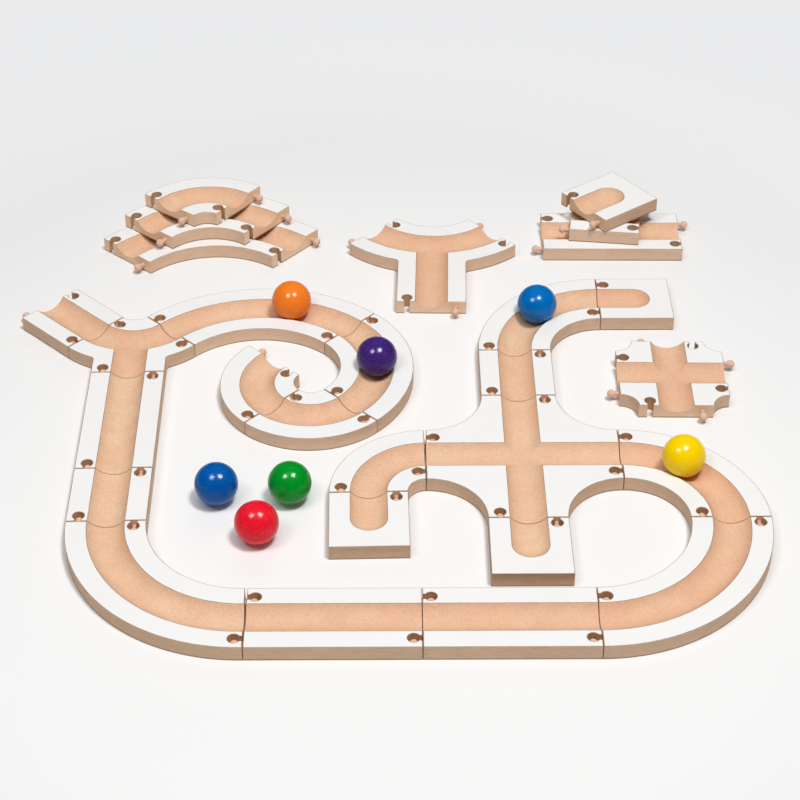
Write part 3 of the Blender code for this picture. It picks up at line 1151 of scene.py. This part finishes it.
@dataclass
class Board:
    """One board of the track with its pegs."""

    SMOOTH_FACES: ClassVar[tuple[BoardFace, ...]] = (
        BoardFace.GROOVE,
        BoardFace.EDGE,
        BoardFace.KEYHOLE,
        BoardFace.END,
    )
    JOINT_RIMS: ClassVar[dict[tuple[BoardFace, ...], float]] = {
        (BoardFace.TOP,): SIZES.joint_top_rim,
        (BoardFace.GROOVE, BoardFace.EDGE): SIZES.joint_rim,
    }
    END_FACING: ClassVar[float] = 0.99

    name: str
    plan: BoardPlan
    place: Matrix
    loose_pegs: tuple[int, ...] = ()
    shade: Shade = Shade()

    def joints(self) -> list[Joint]:
        """Where the board's ends stand.

        Returns:
            World point in plan and outward heading of each end.
        """
        heading = degrees(atan2(self.place[1][0], self.place[0][0]))
        found = []
        for end, own in self.plan.ends:
            point = self.place @ Vector((end.x, end.y, 0))
            found.append((point.to_2d(), own + heading))
        return found

    def build(self, shop: Workshop) -> bpy.types.Object:
        """Carve the board.

        Args:
            shop: The shared materials and trees.

        Returns:
            The board's object, with its place in its mesh.
        """
        faces = {"top": BoardFace.TOP, "side": BoardFace.EDGE, "bottom": BoardFace.UNDERSIDE}
        blank = linked(self.name, prism(self.name, self.plan.outline, 0, SIZES.board_thickness, faces))
        tools = self._groove_tools(shop) + self._keyhole_tools()
        # The tools have the board's materials too, so that a cut face keeps its own.
        for item in (blank, *tools):
            for material in shop.board_materials[len(item.data.materials):]:
                item.data.materials.append(material)
        for tool in tools:
            step = blank.modifiers.new(tool.name, "BOOLEAN")
            step.operation = "DIFFERENCE"
            step.solver = "MANIFOLD"
            step.object = tool
        mesh = evaluated_mesh(blank)
        for item in (blank, *tools):
            remove(item)
        self._mark_ends(mesh)
        self._ease_rims(mesh)
        self._darken_joints(mesh)
        self._mark_layers(mesh)
        mesh.transform(self.place)
        mesh.set_sharp_from_angle(angle=radians(SIZES.board_crease))
        for face in mesh.polygons:
            face.use_smooth = face.material_index in self.SMOOTH_FACES
        mesh.name = f"{self.name}_board"
        return linked(f"{self.name}_board", mesh)

    def _groove_tools(self, shop: Workshop) -> list[bpy.types.Object]:
        """Round bars that cut the grooves.

        Args:
            shop: The shared materials and trees.

        Returns:
            The bars.
        """
        tools = []
        for index, path in enumerate(self.plan.grooves):
            work = bmesh.new()
            height = SIZES.groove_axis + index * SIZES.second_groove_rise
            spots = [work.verts.new((point.x, point.y, height)) for point in path]
            for one, two in zip(spots, spots[1:]):
                work.edges.new((one, two))
            line = linked(f"{self.name}_path", to_mesh(work, f"{self.name}_path"))
            values = {
                "Bar Radius": SIZES.groove_radius,
                "Round Steps": FINE.groove_round,
                "Material": shop.board_materials[BoardFace.GROOVE],
            }
            tools.append(linked(f"{self.name}_bar", shop.bars.run(line, values)))
        if self.plan.pool:
            tools.append(linked(f"{self.name}_bar", self._round_ended_bar()))
        for tool in tools:
            tool.data.materials.clear()
            for material in shop.board_materials:
                tool.data.materials.append(material)
            for face in tool.data.polygons:
                face.material_index = BoardFace.GROOVE
        return tools

    def _round_ended_bar(self) -> bpy.types.Mesh:
        """A bar along +X that ends in a ball, for a groove that stops.

        Returns:
            The bar's mesh.
        """
        profile = dome(SIZES.groove_radius, self.plan.pool, 0, FINE.pool)
        profile += [(SIZES.groove_radius, -SIZES.groove_overrun), (0.0, -SIZES.groove_overrun)]
        mesh = turned(f"{self.name}_bar", profile, FINE.groove_round)
        lie_down = Matrix.Rotation(pi / 2, 4, "Y")
        mesh.transform(Matrix.Translation((0, 0, SIZES.groove_axis)) @ lie_down)
        return mesh

    def _keyhole_tools(self) -> list[bpy.types.Object]:
        """Upright shapes that cut the keyholes.

        Returns:
            The shapes.
        """
        faces = {"top": BoardFace.KEYHOLE, "side": BoardFace.KEYHOLE, "bottom": BoardFace.KEYHOLE}
        low, high = -SIZES.cut_margin, SIZES.board_thickness + SIZES.cut_margin
        tools = []
        for end, heading in self.plan.ends:
            name = f"{self.name}_keyhole"
            tools.append(linked(name, prism(name, keyhole_outline(end, heading), low, high, faces)))
        return tools

    @staticmethod
    def _ease_rims(mesh: bpy.types.Mesh) -> None:
        """Turn the outermost strip of the top faces into a narrow sloping rim.

        Args:
            mesh: The board's mesh, before it is put in its place.
        """
        with mesh_work(mesh) as work:
            tops = [face for face in work.faces if face.material_index == BoardFace.TOP]
            inset = bmesh.ops.inset_region(
                work, faces=tops, thickness=SIZES.arris, use_boundary=True, use_even_offset=True)
            inner = {corner for face in tops for corner in face.verts}
            outer = {corner for face in inset["faces"] for corner in face.verts} - inner
            for corner in outer:
                corner.co.z -= SIZES.arris_drop
            for face in inset["faces"]:
                face.material_index = BoardFace.ARRIS

    def _darken_joints(self, mesh: bpy.types.Mesh) -> None:
        """Give the joined ends a dark strip across the top, the groove and the sides: partly wear, partly
        painted shade of the gap between the boards.

        Args:
            mesh: The board's mesh, before it is put in its place.
        """
        joined = [joint for index, joint in enumerate(self.plan.ends) if index not in self.loose_pegs]
        with mesh_work(mesh) as work:
            for end, heading in joined:
                out = direction(heading).to_3d()
                for kinds, rim in self.JOINT_RIMS.items():
                    line = end.to_3d() - rim * out
                    near = self._end_faces(work, kinds, end, out)
                    parts = dict.fromkeys(part for face in near for part in (face, *face.edges, *face.verts))
                    bmesh.ops.bisect_plane(
                        work, geom=list(parts), plane_co=line, plane_no=out, dist=SIZES.cut_snap)
                    for face in self._end_faces(work, kinds, end, out):
                        if (face.calc_center_median() - line).dot(out) > 0:
                            face.material_index = BoardFace.JOINT

    @staticmethod
    def _end_faces(work: bmesh.types.BMesh, kinds: tuple[BoardFace, ...], end: Vector,
                   out: Vector) -> list[bmesh.types.BMFace]:
        """Faces that reach the end line of a joint.

        Args:
            work: The board's mesh work.
            kinds: Surfaces that the faces belong to.
            end: Middle of the joint.
            out: Its outward direction.

        Returns:
            The faces.
        """
        found = []
        for face in [face for face in work.faces if face.material_index in kinds]:
            reach = max((corner.co - end.to_3d()).dot(out) for corner in face.verts)
            aside = min((corner.co.to_2d() - end).length for corner in face.verts)
            if reach > -SIZES.joint_top_rim and aside < SIZES.board_width:
                found.append(face)
        return found

    def _mark_ends(self, mesh: bpy.types.Mesh) -> None:
        """Give the end faces of the joints their own surface.

        Args:
            mesh: The board's mesh, before it is put in its place.
        """
        for end, heading in self.plan.ends:
            out = direction(heading).to_3d()
            for face in mesh.polygons:
                back = (end.to_3d() - face.center).dot(out)
                at_end = face.normal.dot(out) > self.END_FACING and back < SIZES.cut_margin
                if at_end and face.material_index == BoardFace.EDGE:
                    face.material_index = BoardFace.END

    def _mark_layers(self, mesh: bpy.types.Mesh) -> None:
        """Write every point's height above the underside, and the board's shade, into the mesh.

        Args:
            mesh: The board's mesh, before it is put in its place.
        """
        count = len(mesh.vertices)
        marks = {
            BoardMark.LAYER: [point.co.z for point in mesh.vertices],
            BoardMark.TONE: [self.shade.tone] * count,
            BoardMark.SAND: [self.shade.sand] * count,
        }
        for mark, numbers in marks.items():
            mesh.attributes.new(mark.value, "FLOAT", "POINT").data.foreach_set("value", numbers)

    def pegs(self, shop: Workshop) -> bpy.types.Object:
        """Set a peg to the left of every end.

        Args:
            shop: The shared materials and trees.

        Returns:
            One object with all pegs of the board.
        """
        height = self.place.translation.z + SIZES.board_thickness / 2
        work = bmesh.new()
        aims = []
        for point, heading in self.joints():
            spot = point + SIZES.peg_line * direction(heading + 90)
            work.verts.new((spot.x, spot.y, height))
            aims.append(direction(heading).to_3d())
        name = f"{self.name}_pegs"
        mesh = to_mesh(work, name)
        mesh.attributes.new(PEG_AIM, "FLOAT_VECTOR", "POINT")
        for spot, aim in zip(mesh.attributes[PEG_AIM].data, aims):
            spot.vector = aim
        values = {"Peg": shop.peg, "Peg Scale": 1.0, "Material": shop.beech}
        return linked(name, shop.rows.run(linked(name, mesh), values))

    def dress(self, shop: Workshop) -> None:
        """Build the board and its pegs, and set them on the board's body.

        Args:
            shop: The shared materials and trees.
        """
        board = self.build(shop)
        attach(board, self.name)
        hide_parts(self.name)
        pegs = self.pegs(shop)
        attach(pegs, self.name)
        if self.loose_pegs:
            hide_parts(*[f"{self.name}_peg_{index + 1}" for index in self.loose_pegs])
        LOG.info("%s: %d faces, %d pegs", self.name, len(board.data.polygons), len(self.plan.ends))


def flat_place(point: Sequence[float], heading: float, level: int) -> Matrix:
    """Place of a board that starts at a point with a heading.

    Args:
        point: Start in plan.
        heading: Heading in degrees.
        level: Number of boards below it.

    Returns:
        The place.
    """
    turn = Matrix.Rotation(radians(heading), 4, "Z")
    return Matrix.Translation((point[0], point[1], level * SIZES.level_step)) @ turn


def askew(joint: Joint) -> Joint:
    """The same joint turned by the play, and moved out so that the end faces stay apart."""
    point, heading = joint
    return point + SIZES.joint_ease * direction(heading), heading + SIZES.joint_play


class Layout:
    """The joined track, walked out from the large cross, and the boards that lie about."""

    SHADES: ClassVar[dict[str, Shade]] = {
        "large_cross": Shade(tone=0.1, sand=0.8),
        "middle_bend_right": Shade(sand=0.1),
        "wide_bend_front_right": Shade(sand=0.1),
        "long_straight_front_right": Shade(sand=0.3),
        "long_straight_front_left": Shade(sand=0.35),
        "wide_bend_front_left": Shade(sand=0.75),
        "short_straight_left": Shade(sand=0.9),
        "long_straight_left": Shade(sand=0.9),
        "small_fork": Shade(sand=0.35),
        "wide_bend_spiral": Shade(tone=-0.45),
        "tight_bend_spiral_outer": Shade(tone=-0.3),
        "tight_bend_spiral_inner": Shade(tone=-0.2),
        "tight_bend_middle": Shade(tone=-0.2),
        "dead_end_middle": Shade(tone=0.35, sand=0.8),
        "dead_end_front": Shade(tone=0.8, sand=0.8),
        "middle_bend_back": Shade(sand=0.9),
        "dead_end_back": Shade(sand=0.1),
        "spare_wide_bend": Shade(tone=-0.3),
        "spare_middle_bend": Shade(tone=-0.5),
        "spare_tight_bend": Shade(tone=-0.6),
        "large_fork": Shade(tone=-0.3, sand=0.2),
        "spare_long_straight": Shade(tone=-0.35),
        "spare_short_straight": Shade(tone=-0.6),
        "small_cross": Shade(sand=0.2),
    }

    def __init__(self) -> None:
        """Place every board."""
        self.boards: dict[str, Board] = {}
        self._track()
        self._spares()

    def _add(self, name: str, plan: BoardPlan, joint: Joint, loose: Sequence[int] = (),
             level: int = 0) -> list[Joint]:
        """Place one board.

        Args:
            name: Name of the board and its body.
            plan: Its plan.
            joint: Where it starts.
            loose: Ends whose peg is a piece of its own.
            level: Number of boards below it.

        Returns:
            The joints at its other ends.
        """
        shade = self.SHADES.get(name, Shade())
        self.boards[name] = Board(name, plan, flat_place(*joint, level), tuple(loose), shade)
        return self.boards[name].joints()[1:]

    def _track(self) -> None:
        """Place the boards that are joined."""
        middle, wide, tight = SIZES.middle_radius, SIZES.wide_radius, SIZES.tight_radius
        right, back, front = self._add("large_cross", cross_plan(middle), (Vector((-middle, 0)), 0.0))
        left = self.boards["large_cross"].joints()[0]
        joint, = self._add("middle_bend_right", bend_plan(middle, Turn.RIGHT), right)
        joint, = self._add("wide_bend_front_right", bend_plan(wide, Turn.RIGHT), joint)
        joint, = self._add("long_straight_front_right", straight_plan(SIZES.long_length), joint)
        joint, = self._add("long_straight_front_left", straight_plan(SIZES.long_length), joint)
        joint, = self._add("wide_bend_front_left", bend_plan(wide, Turn.RIGHT), askew(joint))
        joint, = self._add("short_straight_left", straight_plan(SIZES.short_length), joint)
        joint, = self._add("long_straight_left", straight_plan(SIZES.long_length), joint)
        west, east = self._add("small_fork", fork_plan(tight, tight), joint)
        self._add("short_straight_back_left", straight_plan(SIZES.short_length), west, (1,))
        joint, = self._add("wide_bend_spiral", bend_plan(wide, Turn.RIGHT), east)
        joint, = self._add("middle_bend_spiral", bend_plan(middle, Turn.RIGHT), joint)
        joint, = self._add("tight_bend_spiral_outer", bend_plan(tight, Turn.RIGHT), joint)
        self._add("tight_bend_spiral_inner", bend_plan(tight, Turn.RIGHT), joint, (1,))
        joint, = self._add("tight_bend_middle", bend_plan(tight, Turn.LEFT), askew(left))
        self._add("dead_end_middle", dead_end_plan(), joint)
        self._add("dead_end_front", dead_end_plan(), front)
        joint, = self._add("short_straight_middle", straight_plan(SIZES.short_length), back)
        joint, = self._add("middle_bend_back", bend_plan(middle, Turn.RIGHT), joint)
        self._add("dead_end_back", dead_end_plan(), joint)

    def _spares(self) -> None:
        """Place the boards that lie about, single or in stacks."""
        # Name, centre line radius, middle of the turn and tilt in degrees, from the lowest up.
        bends = (
            ("spare_wide_bend", SIZES.wide_radius, (-0.3874, 0.3337), 4.2),
            ("spare_middle_bend", SIZES.middle_radius, (-0.3940, 0.3965), 5.4),
            ("spare_tight_bend", SIZES.tight_radius, (-0.4013, 0.4521), 7.3),
        )
        for level, (name, radius, centre, tilt) in enumerate(bends):
            start = Vector(centre) + radius * direction(tilt + SIZES.arm_angle)
            joint = (start, tilt + 90 + SIZES.arm_angle)
            self._add(name, bend_plan(radius, Turn.LEFT), joint, (0, 1), level)
        fork_heading = 88.5
        fork_split = Vector((-0.0986, 0.4500))
        fork_start = fork_split - SIZES.large_leg * direction(fork_heading)
        fork = fork_plan(SIZES.large_leg, SIZES.middle_radius)
        self._add("large_fork", fork, (fork_start, fork_heading), (0, 1, 2))
        long, short = SIZES.long_length, SIZES.short_length
        # Name, plan, length, middle and tilt in degrees, from the lowest up.
        straights = (
            ("spare_long_straight", straight_plan(long), long, (0.1442, 0.4825), -0.7),
            ("spare_short_straight", straight_plan(short), short, (0.1372, 0.4965), -7.1),
            ("spare_dead_end", dead_end_plan(), short, (0.1426, 0.5126), 36.8),
        )
        for level, (name, plan, length, middle, tilt) in enumerate(straights):
            start = Vector(middle) - length / 2 * direction(tilt)
            self._add(name, plan, (start, tilt), range(len(plan.ends)), level)
        cross_tilt = -1.1
        cross_middle = Vector((0.1905, 0.1577))
        cross_start = cross_middle - SIZES.tight_radius * direction(cross_tilt)
        self._add("small_cross", cross_plan(SIZES.tight_radius), (cross_start, cross_tilt), (0, 1, 2, 3))


# Balls


class BallColour(Enum):
    """Lacquer colour and the colour of its grain lines."""

    ORANGE = ((0.94, 0.205, 0.016), (0.98, 0.36, 0.04))
    PURPLE = ((0.050, 0.016, 0.165), (0.095, 0.04, 0.25))
    BLUE = ((0.0, 0.145, 0.48), (0.004, 0.21, 0.58))
    DEEP_BLUE = ((0.0, 0.090, 0.375), (0.004, 0.14, 0.47))
    YELLOW = ((1.0, 0.65, 0.0), (1.0, 0.75, 0.006))
    GREEN = ((0.0, 0.28, 0.02), (0.01, 0.38, 0.045))
    RED = ((0.84, 0.008, 0.028), (0.90, 0.05, 0.06))


@dataclass(frozen=True)
class Ball:
    """One lacquered ball."""

    name: str
    centre: Point
    colour: BallColour
    grain_turn: Point

    def dress(self) -> None:
        """Build the ball and set it on its body."""
        work = bmesh.new()
        bmesh.ops.create_uvsphere(
            work, u_segments=FINE.ball_segments, v_segments=FINE.ball_rings,
            radius=SIZES.ball_radius, matrix=Matrix.Translation(self.centre))
        mesh = to_mesh(work, f"{self.name}_lacquered")
        mesh.shade_smooth()
        finish = LacquerFinish(self.name, *self.colour.value, self.grain_turn)
        mesh.materials.append(finish.material())
        piece = linked(f"{self.name}_lacquered", mesh)
        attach(piece, self.name)
        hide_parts(self.name)
        LOG.info("%s: %d faces", self.name, len(mesh.polygons))


def in_bend(bend: Board, radius: float, angle: float) -> Point:
    """Middle of a ball that stands in a bend to the right.

    Args:
        bend: The placed bend.
        radius: Its centre line radius.
        angle: Angle about the bend's middle in degrees.

    Returns:
        The middle of the ball.
    """
    pivot = bend.place @ Vector((0, -radius, SIZES.track_height))
    return tuple(pivot + radius * direction(angle).to_3d())


def make_balls(boards: Mapping[str, Board]) -> list[Ball]:
    """Four balls standing in bends, and three on the floor.

    Args:
        boards: The placed boards by name.

    Returns:
        The balls.
    """
    middle, wide = SIZES.middle_radius, SIZES.wide_radius
    # Name, bend, its radius, angle about its middle, colour and turn of the grain.
    standing = (
        ("orange_ball", "wide_bend_spiral", wide, 77.0, BallColour.ORANGE, (0.75, 0.3, 0.0)),
        ("purple_ball", "middle_bend_spiral", middle, -0.5, BallColour.PURPLE, (0.5, -0.25, 0.0)),
        ("blue_ball_on_track", "middle_bend_back", middle, 135.9, BallColour.BLUE, (0.6, 0.1, 0.0)),
        ("yellow_ball", "middle_bend_right", middle, 52.2, BallColour.YELLOW, (0.8, -0.15, 0.0)),
    )
    # Name, place in plan, colour and turn of the grain.
    floor = (
        ("blue_ball_on_floor", (-0.3523, -0.0606), BallColour.DEEP_BLUE, (0.55, 0.12, 0.0)),
        ("green_ball", (-0.2689, -0.0592), BallColour.GREEN, (0.7, -0.3, 0.0)),
        ("red_ball", (-0.3028, -0.1282), BallColour.RED, (0.65, 0.5, 0.0)),
    )
    balls = []
    for name, carrier, radius, angle, colour, turn in standing:
        balls.append(Ball(name, in_bend(boards[carrier], radius, angle), colour, turn))
    for name, spot, colour, turn in floor:
        balls.append(Ball(name, (*spot, SIZES.ball_radius), colour, turn))
    return balls


# Stage


class LampRays(Enum):
    """What a lamp does: light the surfaces or show as a highlight in the lacquer."""

    DIFFUSE = "diffuse"
    GLOSS = "gloss"


@dataclass(frozen=True)
class Lamp:
    """A round soft lamp."""

    name: str
    place: Point
    target: Point
    power: float
    width: float
    rays: LampRays
    colour: Colour = (1.0, 0.995, 0.988)

    def light(self) -> None:
        """Hang the lamp and aim it."""
        data = bpy.data.lights.new(self.name, "AREA")
        data.shape = "DISK"
        data.size = self.width
        data.energy = self.power
        data.color = self.colour
        item = bpy.data.objects.new(self.name, data)
        aim = Vector(self.target) - Vector(self.place)
        item.rotation_euler = aim.to_track_quat("-Z", "Y").to_euler()
        item.location = self.place
        item.visible_glossy = self.rays is LampRays.GLOSS
        item.visible_diffuse = self.rays is LampRays.DIFFUSE
        bpy.context.scene.collection.objects.link(item)


@dataclass(frozen=True)
class Camera:
    """The camera at the photograph's angle; angles in degrees, lens and sensor in millimetres."""

    place: Point = (-0.1453, -1.7818, 1.4481)
    down: float = 37.163
    yaw: float = 0.067
    roll: float = -0.164
    lens: float = 88.41
    sensor: float = 36.0
    sight: float = 50.0

    def set_up(self) -> None:
        """Make the camera and give it to the scene."""
        down, yaw, roll = radians(self.down), radians(self.yaw), radians(self.roll)
        ahead = Vector((sin(yaw) * cos(down), cos(yaw) * cos(down), -sin(down)))
        level = Vector((cos(yaw), -sin(yaw), 0))
        upright = level.cross(ahead)
        right = cos(roll) * level + sin(roll) * upright
        up = -sin(roll) * level + cos(roll) * upright
        axes = Matrix((right, up, -ahead)).transposed().to_4x4()
        data = bpy.data.cameras.new("photo_camera")
        data.lens = self.lens
        data.sensor_fit = "HORIZONTAL"
        data.sensor_width = self.sensor
        data.clip_end = self.sight
        item = bpy.data.objects.new("photo_camera", data)
        item.matrix_world = Matrix.Translation(self.place) @ axes
        bpy.context.scene.collection.objects.link(item)
        bpy.context.scene.camera = item


@dataclass(frozen=True)
class Stage:
    """A pale floor, soft lamps and an even pale surrounding."""

    TRACK_MIDDLE: ClassVar[Point] = (-0.15, 0.1, 0.0)
    BALLS_MIDDLE: ClassVar[Point] = (-0.1, 0.1, 0.0)
    FLOOR_BEHIND: ClassVar[Point] = (-0.15, 2.0, 0.0)

    floor_size: float = 14.0
    floor_drop: float = 0.0002
    floor_colour: Colour = (0.855, 0.855, 0.855)
    back_colour: Colour = (0.80, 0.803, 0.807)
    back_from: Point = (-0.17, -0.1, 0.0)
    back_start: float = 0.45
    back_stop: float = 0.80
    near_colour: Colour = (0.915, 0.915, 0.912)
    near_share: float = 0.03
    far_colour: Colour = (0.83, 0.835, 0.845)
    far_from: Point = (-0.17, 0.13, 0.0)
    far_start: float = 0.64
    far_stop: float = 1.0
    surround: float = 0.085
    surround_colour: Colour = (0.985, 0.99, 1.0)
    lamps: tuple[Lamp, ...] = (
        Lamp("right_lamp", (1.05, -1.10, 4.88), TRACK_MIDDLE, 154.0, 1.05, LampRays.DIFFUSE),
        Lamp("left_lamp", (-1.94, -1.30, 3.70), TRACK_MIDDLE, 31.5, 1.18, LampRays.DIFFUSE),
        Lamp("front_panel", (-0.30, -0.85, 3.75), TRACK_MIDDLE, 38.0, 2.0, LampRays.DIFFUSE),
        Lamp("back_panel", (-0.15, 2.4, 1.8), FLOOR_BEHIND, 12.0, 2.0, LampRays.DIFFUSE),
        Lamp("right_highlight", (0.285, -0.274, 1.524), BALLS_MIDDLE, 35.0, 0.56, LampRays.GLOSS),
        Lamp("left_highlight", (-0.763, -0.399, 1.318), BALLS_MIDDLE, 18.5, 0.50, LampRays.GLOSS),
    )

    def set_up(self) -> None:
        """Build the floor, the lamps and the world."""
        work = bmesh.new()
        bmesh.ops.create_grid(work, x_segments=1, y_segments=1, size=self.floor_size / 2)
        mesh = to_mesh(work, "floor")
        mesh.transform(Matrix.Translation((0, 0, -self.floor_drop)))
        mesh.materials.append(self._floor_material())
        floor = linked("floor", mesh)
        for lamp in self.lamps:
            lamp.light()
        self._set_up_world()

    def _set_up_world(self) -> None:
        """Make a dim even surround light that the camera sees as the pale colour of the far floor."""
        world = bpy.data.worlds.new("surround")
        world.use_nodes = True
        nodes = Tree(world.node_tree)
        nodes.tree.nodes.clear()
        dim = {"Color": (*self.surround_colour, 1), "Strength": self.surround}
        light = nodes.add("ShaderNodeBackground", {}, dim)
        pale = {"Color": (*self.far_colour, 1), "Strength": 1.0}
        backdrop = nodes.add("ShaderNodeBackground", {}, pale)
        seen = nodes.add("ShaderNodeLightPath").outputs["Is Camera Ray"]
        either = nodes.add("ShaderNodeMixShader", {}, {0: seen, 1: light.outputs[0], 2: backdrop.outputs[0]})
        nodes.add("ShaderNodeOutputWorld", {}, {"Surface": either.outputs[0]})
        bpy.context.scene.world = world
        world.cycles_visibility.glossy = False

    def _floor_material(self) -> bpy.types.Material:
        """Pale floor that keeps soft shadows near the track and is an even pale background further out.

        Returns:
            The material.
        """
        wires = Wires("pale_floor")
        far = self._distance(wires, self.far_from).within(self.far_start, self.far_stop)
        back = self._distance(wires, self.back_from).within(self.back_start, self.back_stop)
        path = wires.add("ShaderNodeLightPath")
        shiny = wires.value(path, "Is Glossy Ray") + wires.value(path, "Is Transmission Ray")
        seen = wires.value(path, "Is Camera Ray") + shiny
        share = (self.near_share + (1 - self.near_share) * far) * seen
        matt = {"Color": wires.mix(back, self.floor_colour, self.back_colour)}
        near = wires.add("ShaderNodeBsdfDiffuse", {}, matt)
        glow = {"Color": wires.mix(far, self.near_colour, self.far_colour), "Strength": 1.0}
        even = wires.add("ShaderNodeEmission", {}, glow)
        mixed = wires.add("ShaderNodeMixShader", {}, {0: share, 1: near.outputs[0], 2: even.outputs[0]})
        wires.add("ShaderNodeOutputMaterial", {}, {"Surface": mixed.outputs[0]})
        return wires.material

    @staticmethod
    def _distance(wires: Wires, point: Point) -> Value:
        """Distance of a spot on the floor from a point.

        Args:
            wires: The floor material's tree.
            point: The point.

        Returns:
            The distance in metres.
        """
        ends = {0: wires.place(), 1: point}
        return wires.value(wires.add("ShaderNodeVectorMath", {"operation": "DISTANCE"}, ends), "Value")


def main() -> None:
    """Dress the whole set and the stage."""
    logging.basicConfig(level=logging.INFO, format="%(name)s: %(message)s")
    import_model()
    layout = Layout()
    shop = Workshop()
    for board in layout.boards.values():
        board.dress(shop)
    shop.close()
    for ball in make_balls(layout.boards):
        ball.dress()
    Stage().set_up()
    Camera().set_up()
    bpy.context.scene.view_settings.view_transform = "Standard"


if __name__ == "__main__":
    main()
